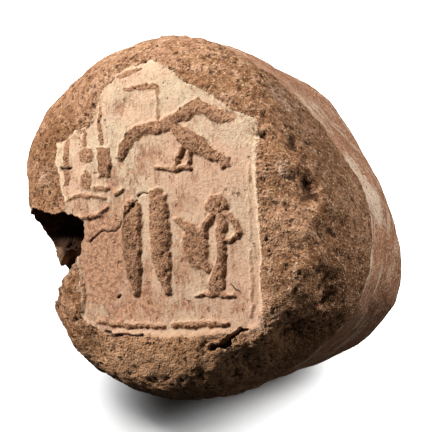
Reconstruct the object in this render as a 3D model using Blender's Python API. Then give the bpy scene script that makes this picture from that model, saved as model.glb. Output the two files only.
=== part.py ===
"""Head of a stamped clay cone, its shaft broken off short, lying on its underside with the face tilted up.

Metres, +Z up. The clay is worked out in the face's own frame: u to the right, v up and w out of the face, from the
centre of the face. The whole stands with the bottom centre of its bounding box at the origin.
"""

import math

import bmesh
import bpy
import numpy as np
from mathutils import Matrix, Vector

MM = 0.001

# Head and stub
HEAD_RADIUS = 43.8 * MM
STUB_LENGTH = 80.0 * MM
CORE_DEPTH = 38.0 * MM
CROWN = 1.8 * MM
SHOULDER = 14.0 * MM
BREAK_ROUND = 26.0 * MM
# Rim of the face as shares of the head radius, every 30 degrees from u towards v
RIM_SHARES = (0.890, 0.811, 0.902, 1.007, 1.071, 1.137, 1.018, 1.016, 1.030, 1.014, 0.977, 1.023)
# Half width of the body behind the face, as shares of the rim, at shares of the stub's length
PROFILE_DEPTHS = (0.0, 0.25, 0.5, 0.75, 1.06)
PROFILE_SHARES = (1.032, 1.099, 1.054, 0.978, 0.467)
BODY_SPLITS = 5

# Step where the rough head ends and the smoothed shaft starts
STEP_DEPTH = 42.0 * MM
STEP_HEIGHT = 0.9 * MM
STEP_WIDTH = 2.5 * MM

# Pose: the face looks up by its tilt and is rolled about its own axis
FACE_TILT = math.radians(25.5)
FACE_ROLL = math.radians(-19.0)
# The underside dried flat: its level below the centre of the face, and the flat spot worn on it
UNDERSIDE_DROP = 56.3 * MM
UNDERSIDE_ROUND = 14.0 * MM
REST_DROP = 54.9 * MM

# Stamped panel
STAMP_WIDTH = 64.0 * MM
STAMP_HEIGHT = 73.0 * MM
STAMP_CENTRE = (-1.7 * MM, 3.6 * MM)
FLOOR_DEPTH = 1.9 * MM
FLOOR_SLOPE_U = 0.020
FLOOR_SLOPE_V = -0.028
FLOOR_LEAST = 0.45 * MM
FLOOR_CELL = 4.0 * MM
# Outline of the impression as shares of half its width and height, from its lower right corner
STAMP_OUTLINE = (
    (0.95, -0.98), (1.0, -0.26), (1.0, 0.49), (0.76, 0.57), (0.50, 0.73), (0.31, 0.81), (0.15, 0.93),
    (-0.06, 1.0), (-0.34, 0.94), (-0.55, 0.78), (-0.93, 0.59), (-1.0, 0.37), (-0.87, -0.04),
    (-0.77, -0.48), (-0.75, -0.83), (-0.54, -0.90), (0.12, -0.97), (0.71, -1.0),
)
# The stamp's figures are drawn on a sheet of this many units, which covers the panel
DRAWN_WIDTH = 64.0
DRAWN_HEIGHT = 73.0
BORDER_WIDTH = 1.3 * MM
BORDER_INSET = 2.3 * MM
CUTTER_REACH = 16.0 * MM

# Chip in the left edge of the head, with the hollow behind its lip and the lump left in it
CHIP_CENTRE = (-41.8 * MM, -7.0 * MM, -8.0 * MM)
CHIP_RADII = (18.0 * MM, 12.0 * MM, 16.0 * MM)
HOLLOW_CENTRE = (-31.8 * MM, -3.5 * MM, -12.5 * MM)
HOLLOW_RADII = (10.0 * MM, 6.5 * MM, 8.5 * MM)
LUMP_CENTRE = (-44.2 * MM, -11.0 * MM, -22.0 * MM)
LUMP_RADII = (7.5 * MM, 5.0 * MM, 8.0 * MM)
CHIP_LUMPS = 0.07

# Gash below the panel, and the dents: centre, radius and depth of each
GASH_START = (24.0 * MM, -31.8 * MM)
GASH_END = (13.3 * MM, -35.8 * MM)
GASH_WIDTH = 2.0 * MM
GASH_DEPTH = 3.0 * MM
DENTS = (
    ((39.9 * MM, 3.6 * MM, -9.1 * MM), 5.0 * MM, 2.4 * MM),
    ((41.3 * MM, -23.7 * MM, -10.4 * MM), 4.5 * MM, 1.2 * MM),
    ((-22.4 * MM, -33.0 * MM, -4.0 * MM), 4.5 * MM, 1.2 * MM),
)
# Waves that make the back's break uneven: direction in u, v and w, waves over the head's radius, height
BREAK_FACET = 0.2
BREAK_WAVES = (
    ((1.0, 0.35, 0.2), 1.9, 1.3 * MM),
    ((-0.4, 1.0, 0.3), 2.6, 1.0 * MM),
    ((0.7, -0.8, 0.5), 3.7, 0.6 * MM),
)

CLAY = (0.42, 0.25, 0.145, 1.0)
CLAY_ROUGHNESS = 0.9


def material(name, colour, roughness):
    made = bpy.data.materials.new(name)
    made.use_nodes = True
    shader = made.node_tree.nodes["Principled BSDF"]
    shader.inputs["Base Color"].default_value = colour
    shader.inputs["Roughness"].default_value = roughness
    shader.inputs["Metallic"].default_value = 0.0
    return made


def collection(name):
    made = bpy.data.collections.new(name)
    bpy.context.scene.collection.children.link(made)
    return made


def face_to_world():
    """Rotation that takes u, v and w to the world."""
    across = Vector((1.0, 0.0, 0.0))
    upward = Vector((0.0, math.sin(FACE_TILT), math.cos(FACE_TILT)))
    outward = Vector((0.0, -math.cos(FACE_TILT), math.sin(FACE_TILT)))
    u = math.cos(FACE_ROLL) * across - math.sin(FACE_ROLL) * upward
    v = math.cos(FACE_ROLL) * upward + math.sin(FACE_ROLL) * across
    return Matrix((u, v, outward)).transposed().to_4x4()


UPWARD = np.array(face_to_world())[2, :3]


def closed_curve(shares, angle):
    """Smooth closed curve through values at even angles."""
    values = np.array(shares)
    count = len(values)
    place = (angle / (2 * math.pi) * count) % count
    first = np.floor(place).astype(int) % count
    part = place - np.floor(place)
    a, b, c, d = (values[(first + step) % count] for step in (-1, 0, 1, 2))
    line = 2 * b + (c - a) * part
    curve = (2 * a - 5 * b + 4 * c - d) * part**2 + (3 * b - a - 3 * c + d) * part**3
    return 0.5 * (line + curve)


def profile(depth):
    """Half width of the body at a depth behind the face, as a share of the rim, on a smooth curve."""
    knots = np.array(PROFILE_DEPTHS) * STUB_LENGTH
    values = np.array(PROFILE_SHARES)
    slopes = np.gradient(values, knots)
    depth = np.clip(depth, knots[0], knots[-1])
    first = np.clip(np.searchsorted(knots, depth, side="right") - 1, 0, len(knots) - 2)
    step = knots[first + 1] - knots[first]
    part = (depth - knots[first]) / step
    start = values[first] * (2 * part**3 - 3 * part**2 + 1)
    start += slopes[first] * step * (part**3 - 2 * part**2 + part)
    end = values[first + 1] * (3 * part**2 - 2 * part**3)
    end += slopes[first + 1] * step * (part**3 - part**2)
    return start + end


def rounded_max(a, b, radius):
    """The larger of two fields, with the edge where they meet rounded."""
    overlap = np.clip(radius - np.abs(a - b), 0.0, None)
    return np.maximum(a, b) + overlap**2 / (4 * radius)


def field(points):
    """Below zero inside the clay and above zero outside, roughly a distance."""
    u, v, w = points[:, 0], points[:, 1], points[:, 2]
    angle = np.arctan2(v, u)
    radius = np.hypot(u, v)
    depth = -w
    shaft = np.clip((depth - STEP_DEPTH - 0.04 * u) / STEP_WIDTH, -1.0, 1.0)
    side = radius - HEAD_RADIUS * closed_curve(RIM_SHARES, angle) * profile(depth)
    side += STEP_HEIGHT * 0.5 * shaft
    front = w + CROWN * (radius / HEAD_RADIUS) ** 2
    back = depth - STUB_LENGTH + BREAK_FACET * np.clip(-u, 0.0, None)
    for direction, waves, height in BREAK_WAVES:
        back += height * np.sin(points @ np.array(direction) * waves * 2 * math.pi / HEAD_RADIUS)
    under = -points @ UPWARD - UNDERSIDE_DROP
    solid = rounded_max(rounded_max(side, front, SHOULDER), back, BREAK_ROUND)
    solid = rounded_max(solid, under, UNDERSIDE_ROUND)
    for centre, size, depth_in in DENTS:
        away = np.linalg.norm(points - np.array(centre), axis=1)
        solid += depth_in * np.exp(-((away / size) ** 2))
    return np.maximum(solid, -points @ UPWARD - REST_DROP)


def on_surface(directions, core):
    """Where each ray from the core leaves the clay."""
    near = np.zeros(len(directions))
    far = np.full(len(directions), STUB_LENGTH + HEAD_RADIUS)
    for _ in range(40):
        middle = 0.5 * (near + far)
        inside = field(core + directions * middle[:, None]) < 0
        near = np.where(inside, middle, near)
        far = np.where(inside, far, middle)
    return core + directions * near[:, None]


def add_object(name, shape, group, parent):
    mesh = bpy.data.meshes.new(name)
    shape.to_mesh(mesh)
    shape.free()
    made = bpy.data.objects.new(name, mesh)
    made.parent = parent
    group.objects.link(made)
    return made


def add_cutter(name, shape, parent=None):
    made = add_object(name, shape, cutters, parent)
    made.hide_render = True
    made.display_type = "WIRE"
    return made


def cut(target, name, other, operation="DIFFERENCE"):
    boolean = target.modifiers.new(name, "BOOLEAN")
    boolean.operation = operation
    boolean.solver = "EXACT"
    boolean.object = other


def clay_body():
    """The head and the stub, as a ball of small triangles drawn out to the clay's surface."""
    shape = bmesh.new()
    bmesh.ops.create_icosphere(shape, subdivisions=BODY_SPLITS, radius=1.0)
    directions = np.array([vertex.co.normalized() for vertex in shape.verts])
    core = np.array((0.0, 0.0, -CORE_DEPTH))
    for vertex, place in zip(shape.verts, on_surface(directions, core)):
        vertex.co = place
    return shape


def lumpy_ball(centre, radii, splits=3):
    """An ellipsoid with an uneven surface."""
    shape = bmesh.new()
    bmesh.ops.create_icosphere(shape, subdivisions=splits, radius=1.0)
    for vertex in shape.verts:
        x, y, z = vertex.co
        bump = math.sin(4.1 * x + 1.0) * math.sin(3.3 * y + 2.0) + 0.7 * math.sin(6.0 * z + 2.4 * x)
        swell = 1.0 + CHIP_LUMPS * bump
        vertex.co = Vector(centre) + Vector((x * radii[0], y * radii[1], z * radii[2])) * swell
    return shape


def floor_level(u, v):
    """Height of the impression's floor: a slanting plane that never comes too near the face."""
    plane = -(FLOOR_DEPTH + FLOOR_SLOPE_U * u + FLOOR_SLOPE_V * v)
    places = np.array([[u, v, 0.0]])
    low = np.array([-STUB_LENGTH])
    high = np.array([CROWN])
    for _ in range(30):
        places[:, 2] = 0.5 * (low + high)
        inside = field(places) < 0
        low = np.where(inside, places[:, 2], low)
        high = np.where(inside, high, places[:, 2])
    return min(plane, float(low[0]) - FLOOR_LEAST)


def prism(outline):
    """A flat outline in u and v made solid along w, through the face."""
    shape = bmesh.new()
    face = shape.faces.new([shape.verts.new((u, v, -CUTTER_REACH)) for u, v in outline])
    raised = bmesh.ops.extrude_face_region(shape, geom=[face])["geom"]
    moved = [item for item in raised if isinstance(item, bmesh.types.BMVert)]
    bmesh.ops.translate(shape, verts=moved, vec=(0.0, 0.0, 2 * CUTTER_REACH))
    bmesh.ops.recalc_face_normals(shape, faces=shape.faces)
    return shape


def stroke(points, widths):
    """Outline of a line of changing width through points, with cut ends."""
    places = [Vector(point) for point in points]
    left, right = [], []
    for index, place in enumerate(places):
        before = places[max(index - 1, 0)]
        after = places[min(index + 1, len(places) - 1)]
        along = (after - before).normalized()
        across = Vector((-along.y, along.x)) * widths[index] * 0.5
        left.append(tuple(place + across))
        right.append(tuple(place - across))
    return right + left[::-1]


def oval(centre, radii, turn=0.0, corners=16):
    """Outline of an ellipse turned by an angle in degrees."""
    cosine, sine = math.cos(math.radians(turn)), math.sin(math.radians(turn))
    outline = []
    for index in range(corners):
        angle = 2 * math.pi * index / corners
        x, y = radii[0] * math.cos(angle), radii[1] * math.sin(angle)
        outline.append((centre[0] + x * cosine - y * sine, centre[1] + x * sine + y * cosine))
    return outline


def on_panel(points):
    """Places on the panel, from the units in which the stamp is drawn."""
    return [(u * STAMP_WIDTH / DRAWN_WIDTH, v * STAMP_HEIGHT / DRAWN_HEIGHT) for u, v in points]


def line(points, widths):
    return stroke(on_panel(points), [width * STAMP_WIDTH / DRAWN_WIDTH for width in widths])


def blob(centre, radii, turn=0.0):
    return oval(on_panel([centre])[0], on_panel([radii])[0], turn)


def bird():
    """Bird with its wings open over a short ground line, its head to the left."""
    wing = [(-0.6, 22.9), (5.6, 26.0), (11.7, 28.8), (17.3, 25.2), (21.9, 21.9), (16.5, 21.4)]
    wing += [(12.6, 23.9), (6.9, 22.6)]
    return {
        "bird_right_wing": on_panel(wing),
        "bird_left_wing": line([(-12.6, 15.2), (-10.6, 20.4), (-7.5, 22.5), (2.0, 21.6)], [1.4, 2.8, 2.6, 2.4]),
        "bird_neck": line([(-0.1, 24.0), (0.1, 29.4), (-1.1, 32.8)], [1.8, 1.2, 1.2]),
        "bird_head": line([(-0.4, 32.9), (-5.5, 33.8), (-10.6, 34.0)], [1.5, 1.5, 1.0]),
        "bird_body": line([(2.6, 21.0), (8.5, 18.6), (13.4, 15.4), (17.1, 13.2)], [3.6, 6.2, 5.0, 2.4]),
        "bird_tail": line([(16.7, 13.6), (21.6, 9.9)], [2.2, 3.0]),
        "bird_front_leg": line([(6.5, 16.8), (4.1, 11.2)], [1.6, 1.4]),
        "bird_back_leg": line([(9.1, 15.8), (8.4, 10.8)], [1.4, 1.3]),
        "bird_ground": line([(-2.2, 11.5), (9.8, 10.6)], [1.4, 1.4]),
    }


def kneeling_person():
    """Person kneeling on a short base, one forearm raised."""
    return {
        "person_head": blob((16.7, 0.6), (3.3, 2.5)),
        "person_torso": line([(17.7, -0.6), (17.7, -9.0), (17.1, -15.0), (15.5, -20.8)], [2.8, 2.8, 2.8, 5.0]),
        "person_front_arm": line([(15.7, -1.4), (11.2, -6.8)], [2.4, 2.2]),
        "person_forearm": line([(11.6, -7.0), (7.5, -4.4), (4.0, -2.2)], [2.8, 2.6, 2.2]),
        "person_back_arm": line([(19.3, -1.8), (22.3, -4.4), (23.8, -7.8), (17.9, -9.2)], [1.8, 1.8, 1.8, 1.8]),
        "person_lap": blob((10.8, -11.4), (6.5, 4.4), -56.0),
        "person_shin": line([(12.4, -15.6), (14.0, -21.4)], [4.4, 5.0]),
        "person_base": line([(9.0, -22.0), (14.9, -21.6), (20.8, -22.8)], [0.8, 2.0, 0.9]),
    }


def strokes():
    """Upright strokes, arcs and blobs beside the figures."""
    return {
        "stroke_far_left": line([(-29.9, 21.8), (-29.6, 9.0)], [1.7, 1.8]),
        "stroke_thin_left": line([(-24.0, 23.8), (-23.8, 19.6)], [0.9, 1.1]),
        "blob_upper_left": blob((-23.1, 16.8), (2.5, 2.2)),
        "blob_lower_left": blob((-23.2, 10.2), (2.0, 2.8)),
        "stroke_thin_middle": line([(-18.8, 27.8), (-18.1, 20.4)], [1.0, 1.4]),
        "stroke_thick_middle": line([(-17.4, 19.2), (-17.5, 9.6)], [3.8, 4.2]),
        "arc_upper": line([(-30.6, 5.0), (-25.8, 6.2), (-21.4, 5.6), (-17.7, 3.9)], [0.8, 1.5, 1.4, 0.8]),
        "arc_lower": line([(-27.1, 1.2), (-21.8, 0.2), (-15.7, 1.6)], [0.8, 1.5, 1.0]),
        "stroke_tall_left": line([(-9.0, 4.0), (-9.5, -3.0), (-9.8, -12.0), (-8.3, -21.3)], [2.4, 5.2, 6.0, 2.2]),
        "stroke_tall_right": line([(-0.8, 6.0), (-0.9, -4.0), (-1.0, -13.0), (0.4, -21.4)], [3.2, 5.6, 5.6, 2.0]),
        "stroke_short": line([(-25.3, -16.8), (-25.4, -21.4)], [1.8, 1.8]),
    }


def border():
    """Raised line just inside the edge of the impression, with its gaps."""
    right = (STAMP_CENTRE[0] + STAMP_WIDTH / 2 - BORDER_INSET) * DRAWN_WIDTH / STAMP_WIDTH
    bottom = (STAMP_CENTRE[1] - STAMP_HEIGHT / 2 + BORDER_INSET) * DRAWN_HEIGHT / STAMP_HEIGHT
    width = BORDER_WIDTH * DRAWN_WIDTH / STAMP_WIDTH
    return {
        "border_right": line([(right, 21.5), (right - 1.6, -9.0)], [width, width]),
        "border_right_low": line([(right - 2.0, -17.0), (right - 2.5, bottom + 1.0)], [width, width]),
        "border_bottom_left": line([(-18.9, bottom + 2.6), (-0.4, bottom + 1.1)], [width, width * 0.7]),
        "border_bottom_right": line([(2.6, bottom + 1.0), (18.9, bottom + 0.3)], [width, width]),
    }


def impression(pose):
    """Cutter of the stamped panel: a slab with the stamp's outline, without the raised figures."""
    shape = bmesh.new()
    width, height = STAMP_WIDTH + 2 * FLOOR_CELL, STAMP_HEIGHT + 2 * FLOOR_CELL
    columns, rows = round(width / FLOOR_CELL), round(height / FLOOR_CELL)
    bmesh.ops.create_grid(shape, x_segments=columns, y_segments=rows, size=0.5)
    bmesh.ops.triangulate(shape, faces=shape.faces)
    for vertex in shape.verts:
        vertex.co.x = STAMP_CENTRE[0] + vertex.co.x * width
        vertex.co.y = STAMP_CENTRE[1] + vertex.co.y * height
        vertex.co.z = floor_level(vertex.co.x, vertex.co.y)
    raised = bmesh.ops.extrude_face_region(shape, geom=shape.faces[:])["geom"]
    for item in raised:
        if isinstance(item, bmesh.types.BMVert):
            item.co.z = CUTTER_REACH / 2
    bmesh.ops.recalc_face_normals(shape, faces=shape.faces)
    slab = add_cutter("impression", shape, pose)
    half = (STAMP_WIDTH / 2, STAMP_HEIGHT / 2)
    edge = [(STAMP_CENTRE[0] + x * half[0], STAMP_CENTRE[1] + y * half[1]) for x, y in STAMP_OUTLINE]
    cut(slab, "outline", add_cutter("impression_outline", prism(edge), pose), "INTERSECT")
    for name, figure in {**bird(), **kneeling_person(), **strokes(), **border()}.items():
        cut(slab, name, add_cutter(name, prism(figure), pose))
    return slab


def gash(pose):
    """A thin wedge pushed into the clay below the panel."""
    middle = [(a + b) / 2 for a, b in zip(GASH_START, GASH_END)]
    run = [b - a for a, b in zip(GASH_START, GASH_END)]
    shape = bmesh.new()
    bmesh.ops.create_icosphere(shape, subdivisions=3, radius=1.0)
    surface = floor_level(*middle) + FLOOR_LEAST
    size = Matrix.Diagonal((math.hypot(*run) / 2, GASH_WIDTH / 2, GASH_DEPTH, 1.0))
    turn = Matrix.Rotation(math.atan2(run[1], run[0]), 4, "Z")
    place = Matrix.Translation((middle[0], middle[1], surface))
    bmesh.ops.transform(shape, matrix=place @ turn @ size, verts=shape.verts)
    return add_cutter("gash", shape, pose)


def world_box(made):
    bpy.context.view_layer.update()
    evaluated = made.evaluated_get(bpy.context.evaluated_depsgraph_get())
    mesh = evaluated.to_mesh()
    points = np.array([evaluated.matrix_world @ vertex.co for vertex in mesh.vertices])
    evaluated.to_mesh_clear()
    return points.min(axis=0), points.max(axis=0)


for old in list(bpy.data.objects):
    bpy.data.objects.remove(old)

parts = collection("funerary_cone")
cutters = collection("cutters")

pose = bpy.data.objects.new("lying_pose", None)
parts.objects.link(pose)
pose.matrix_world = Matrix.Translation((0.0, 0.0, REST_DROP)) @ face_to_world()

cone = add_object("funerary_cone", clay_body(), parts, pose)
cone.data.materials.append(material("fired_clay", CLAY, CLAY_ROUGHNESS))
hollow = add_cutter("hollow_behind_lip", lumpy_ball(HOLLOW_CENTRE, HOLLOW_RADII), pose)
chip = add_cutter("chip", lumpy_ball(CHIP_CENTRE, CHIP_RADII), pose)
cut(chip, "hollow", hollow, "UNION")
cut(chip, "lump", add_cutter("lump", lumpy_ball(LUMP_CENTRE, LUMP_RADII), pose))
cut(cone, "panel", impression(pose))
cut(cone, "gash", gash(pose))
cut(cone, "chip", chip)

lowest, highest = world_box(cone)
pose.location.x -= (lowest[0] + highest[0]) / 2
pose.location.y -= (lowest[1] + highest[1]) / 2
cone.data.shade_smooth()
cone.data.set_sharp_from_angle(angle=math.radians(35))
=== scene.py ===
"""Dressing of the stamped clay cone: fired clay with its stamp, chip, grain and slip, on a plain pale floor.

The clay is shaped in the face's own frame, in millimetres: u to the right, v up and w out of the face.
"""
import math

import bmesh
import bpy
import numpy as np
from mathutils import Matrix, Vector


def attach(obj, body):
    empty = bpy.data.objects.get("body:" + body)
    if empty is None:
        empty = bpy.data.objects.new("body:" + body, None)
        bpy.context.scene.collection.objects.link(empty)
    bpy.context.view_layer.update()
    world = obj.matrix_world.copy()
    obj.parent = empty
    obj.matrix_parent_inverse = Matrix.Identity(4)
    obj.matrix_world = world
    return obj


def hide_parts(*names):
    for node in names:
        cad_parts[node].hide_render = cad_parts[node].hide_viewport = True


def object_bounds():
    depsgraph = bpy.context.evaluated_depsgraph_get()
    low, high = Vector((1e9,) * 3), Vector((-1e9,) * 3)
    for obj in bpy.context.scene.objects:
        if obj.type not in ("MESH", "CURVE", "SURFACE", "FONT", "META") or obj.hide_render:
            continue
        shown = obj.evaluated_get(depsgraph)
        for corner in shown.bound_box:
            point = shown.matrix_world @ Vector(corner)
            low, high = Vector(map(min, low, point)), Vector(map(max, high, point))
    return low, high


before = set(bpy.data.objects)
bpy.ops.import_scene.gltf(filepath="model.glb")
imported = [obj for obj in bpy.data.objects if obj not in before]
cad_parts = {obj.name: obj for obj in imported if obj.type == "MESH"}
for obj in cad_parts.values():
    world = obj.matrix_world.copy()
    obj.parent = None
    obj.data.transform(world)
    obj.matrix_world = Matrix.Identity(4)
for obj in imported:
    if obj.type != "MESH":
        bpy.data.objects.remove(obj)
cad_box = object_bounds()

MM = 0.001
# A distance past all others, in millimetres
FAR_AWAY = 1e6

# Where the face sits in the world, and how it is turned
FACE_CENTRE = np.array((0.0027633, -0.0315193, 0.0549))
FACE_TILT = math.radians(25.5)
FACE_ROLL = math.radians(-19.0)

# Head and stub, in millimetres
HEAD_RADIUS = 43.8
STUB_LENGTH = 80.0
CORE_DEPTH = 38.0
CROWN = 1.8
SHOULDER = 14.0
BREAK_ROUND = 26.0
RIM_SHARES = (0.890, 0.811, 0.902, 1.007, 1.071, 1.137, 1.018, 1.016, 1.030, 1.014, 0.977, 1.023)
PROFILE_DEPTHS = (0.0, 0.25, 0.5, 0.75, 1.06)
PROFILE_SHARES = (1.032, 1.099, 1.054, 0.978, 0.467)
UNDERSIDE_DROP = 56.3
UNDERSIDE_ROUND = 14.0
BREAK_FACET = 0.2
BREAK_WAVES = (
    ((1.0, 0.35, 0.2), 1.9, 1.3),
    ((-0.4, 1.0, 0.3), 2.6, 1.0),
    ((0.7, -0.8, 0.5), 3.7, 0.6),
)

# Depth behind the face at which the rough head ends, every 30 degrees from u towards v
HEAD_ENDS = (38.4, 34.0, 17.0, 14.0, 20.0, 26.0, 30.0, 31.0, 30.0, 29.0, 28.0, 28.5)
HEAD_STEP = 1.0
HEAD_FADE = 2.4
# Dents and swellings of the outside: centre, radius and depth of each, a swelling's depth below zero
DENTS = (
    ((39.9, 3.6, -9.1), 3.4, 2.7), ((37.6, 6.0, -7.4), 2.4, 1.2), ((42.0, -24.0, -13.6), 3.3, 3.0),
    ((-22.4, -33.0, -4.0), 4.5, 1.2), ((33.4, -33.4, -11.0), 4.6, 3.1), ((37.0, -22.0, -6.5), 7.0, -1.9),
    ((31.2, -28.4, -4.6), 5.0, -1.4), ((41.9, -20.6, -9.6), 2.6, 2.0), ((41.1, -17.4, -7.6), 1.9, 1.3),
    ((43.4, -6.0, -24.0), 1.4, 0.8), ((40.8, -8.0, -10.0), 1.8, 0.9), ((36.6, -7.0, -5.0), 1.6, 0.8),
    ((39.8, -15.5, -6.0), 4.5, -0.8), ((26.5, -33.5, -5.0), 5.5, -1.5), ((38.8, -12.5, -4.6), 2.2, 0.9),
    ((43.6, -6.4, -15.0), 2.6, 0.9), ((42.4, -11.0, -10.0), 2.2, 0.8), ((36.6, -1.2, -3.8), 1.5, 0.6),
    ((-32.4, 31.8, -5.0), 8.5, 1.5), ((-14.0, 43.0, -8.0), 9.0, 0.7), ((-24.8, -38.4, -8.0), 6.0, 1.0),
    ((16.0, -45.0, -22.0), 8.5, 1.4), ((37.0, 9.0, -48.0), 8.0, -1.1), ((41.0, -25.9, -17.0), 4.0, -0.7),
    ((34.4, 15.7, -10.7), 2.2, 1.5), ((37.2, 10.9, -10.7), 1.7, 1.0), ((30.4, -5.1, -1.6), 2.0, 0.6),
    ((29.0, 27.0, -20.0), 6.0, 0.6), ((2.0, -40.5, -8.0), 7.0, 0.8), ((18.0, -39.0, -8.5), 4.0, 1.3),
    ((-9.0, -38.0, -3.5), 2.6, 0.9), ((-20.0, -35.5, -4.4), 2.2, 0.9), ((-38.6, -18.6, -5.2), 7.0, 2.0),
    ((-37.0, -26.5, -9.0), 7.0, 0.9),
)
# Groove that runs down the right shoulder
GROOVE = (
    (23.5, 33.0, -10.5), (25.6, 31.5, -11.4), (26.9, 30.6, -13.7), (30.1, 26.0, -17.1), (33.0, 20.0, -20.0),
)
GROOVE_DEPTH = 0.6
GROOVE_HALF = 1.1
# How much rougher the outside is at the right of the face than elsewhere
CRAGS = 1.6

# Stamped panel
STAMP_WIDTH = 64.0
STAMP_HEIGHT = 73.0
STAMP_CENTRE = (-1.7, 3.6)
# Where the stamp can reach: how far down, and how far from the face's centre across and up
FACE_REACH = (-14.0, 40.0, 45.0)
FLOOR_DEPTH = 1.9
FLOOR_SLOPE_U = 0.020
FLOOR_SLOPE_V = -0.028
FLOOR_LEAST = 0.45
FIGURE_RISE = 1.35
EDGE_SLOPE = 0.95
# Swells that wear the panel's edge and the figures uneven: a reach and a size each
EDGE_SWELLS = ((1.1, 4.2), (0.6, 1.5))
FIGURE_SWELLS = ((0.34, 2.3), (0.3, 0.95))
# Size of the swell that moves the cracks about
CRACK_SWELL = 1.3
STAMP_OUTLINE = (
    (0.985, -1.0), (1.0, -0.26), (0.93, 0.50), (0.74, 0.57), (0.50, 0.73), (0.31, 0.81), (0.15, 0.93),
    (-0.06, 1.0), (-0.34, 0.94), (-0.52, 0.76), (-0.64, 0.62), (-0.80, 0.56), (-0.95, 0.50), (-1.0, 0.37),
    (-0.90, -0.04), (-0.77, -0.48), (-0.75, -0.83), (-0.54, -0.94), (0.12, -1.0), (0.71, -1.0),
)

# Places where the panel's cream skin is rubbed off: centre across and up, radii, and how much is gone
RUBBED = (
    ((-18.5, -13.0), (8.5, 12.5), 0.95), ((-8.0, -24.0), (9.0, 4.5), 0.55), ((-3.5, 14.0), (6.5, 6.5), 0.5),
    ((-18.0, -3.0), (9.0, 4.0), 0.6), ((-12.5, 9.0), (5.0, 6.0), 0.45), ((8.5, -12.0), (4.5, 7.5), 0.6),
    ((6.5, 1.5), (6.0, 5.0), 0.35), ((-11.0, 29.5), (4.5, 3.0), 0.4),
    ((-28.0, 26.0), (7.0, 4.0), 0.45), ((21.0, -14.0), (2.2, 6.0), 0.3), ((-30.0, -20.0), (4.0, 14.0), 0.9),
    ((20.5, 22.8), (4.0, 2.0), 0.5), ((27.6, 20.0), (1.6, 6.0), 0.35), ((2.0, -25.0), (9.0, 2.2), 0.32),
    ((13.0, -25.4), (7.0, 2.0), 0.28), ((-4.8, -18.0), (1.3, 7.0), 0.6), ((22.5, -26.0), (2.4, 4.0), 0.45),
    ((5.2, -17.5), (2.0, 5.0), 0.4),
)
# Darker places on the raised figures
DUSKY = (
    ((-10.5, -7.0), (3.0, 10.0), 0.6), ((-8.0, -17.0), (2.4, 6.0), 0.45), ((0.8, -9.0), (2.6, 11.0), 0.45),
    ((-9.6, 17.6), (2.6, 4.0), 0.5), ((10.5, -9.5), (3.2, 4.6), 0.4), ((-17.3, 13.4), (2.4, 4.0), 0.45),
    ((8.0, 22.9), (3.6, 1.2), 0.75), ((15.6, 22.4), (3.0, 1.1), 0.6), ((-4.0, 20.8), (4.5, 1.0), 0.6),
    ((16.0, -17.0), (2.6, 5.0), 0.3), ((-30.0, 13.0), (1.6, 6.0), 0.3), ((11.0, 16.0), (3.0, 1.6), 0.5),
)
# Pale places of the outside: centre, radius and strength of each
PALE = (
    ((34.5, 8.5, -5.0), 2.2, 0.95), ((30.3, 25.7, -17.3), 5.0, 0.5),
    ((27.3, 30.5, -15.1), 4.2, 0.5), ((26.0, 27.0, -9.0), 4.0, 0.3),
    ((32.0, -20.0, -1.8), 2.5, 0.3), ((39.5, 4.5, -42.5), (6.0, 4.0, 6.0), 0.8),
    ((40.5, -1.5, -45.0), (5.0, 4.0, 3.5), 0.7), ((36.0, 13.0, -41.0), (6.0, 5.0, 5.0), 0.7),
    ((-29.4, -12.0, -3.0), 4.6, 1.0), ((-36.0, 12.0, -3.0), 7.0, 0.5),
    ((-20.0, 35.0, -4.0), 6.0, 0.45),
)

# How much smoother than the rough outside the panel's ground, its figures and the shaft are
CALM_GROUND = 0.84
CALM_FIGURES = 0.42
CALM_SHAFT = 0.8
# How far before the end of the stub the shaft turns rough again, and shows its old break's colours
STUMP_ROUGH = 20.0
STUMP_SHOWN = 17.0

# How far the cream skin is shifted on the raised figures, so that their upper left banks, which face the
# light, carry it as a painted highlight and their lower right banks keep brown as painted shade
SKIN_AND_HIGHLIGHT_SHIFT = (-0.34, 0.3, 0.0)

# Chip in the left edge: four rounded hollows and the lump left standing in them, each a centre and its radii
CHIP = (
    ((-41.8, -7.0, -8.0), (18.0, 12.0, 16.0)),
    ((-31.2, -3.2, -11.0), (10.8, 8.8, 13.0)),
    ((-40.5, -10.0, -18.0), (10.6, 8.4, 13.0)),
    ((-45.0, -15.5, -9.0), (10.8, 7.5, 14.0)),
)
CHIP_LUMP = ((-38.0, -5.4, -22.4), (6.5, 4.6, 8.0))
# What turns a share of a hollow's or the lump's radius into millimetres, and how round they meet
HOLLOW_SIZE = 11.0
LUMP_SIZE = 6.0
CHIP_ROUND = 1.5
# The point inside from which the chip is drawn, how far out, and how rough it is beside the outside
CHIP_HEART = np.array((-36.0, -6.0, -11.0))
CHIP_REACH = 40.0
CHIP_COARSE = 1.1
# How far up the face the chip's fresh rim gives way to the burnt core, whose dark colour is also painted
# shade of the deep hollow
BURNT_FROM = -9.6

# Fineness of the clay's mesh: cells along the cube that it is drawn from, and the wanted cell in millimetres
CELLS = 16
FINEST = 4
CELL_STAMP = 0.44
CELL_SHOWN = 0.86
CELL_HIDDEN = 1.9
# How far a place may be turned away from the camera before its cells count as hidden
HIDDEN_BELOW = -0.12

# The camera, with its aim and the photo's side in pixels
VIEW_AZIMUTH = math.radians(36.0)
VIEW_ELEVATION = math.radians(25.0)
VIEW_DISTANCE = 0.55
PIXEL = 0.257 * MM
PHOTO_SIDE = 432
AIM_RIGHT = 59
AIM_DOWN = 5
# Height that the lamps point at, and the floor's half side, in metres
LAMP_AIM = 0.045
FLOOR_REACH = 4.0


def srgb(red, green, blue):
    """A colour as light, from its screen values."""
    shares = (red / 255, green / 255, blue / 255)
    return tuple(c / 12.92 if c <= 0.04 else ((c + 0.055) / 1.055) ** 2.4 for c in shares) + (1.0,)


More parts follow.
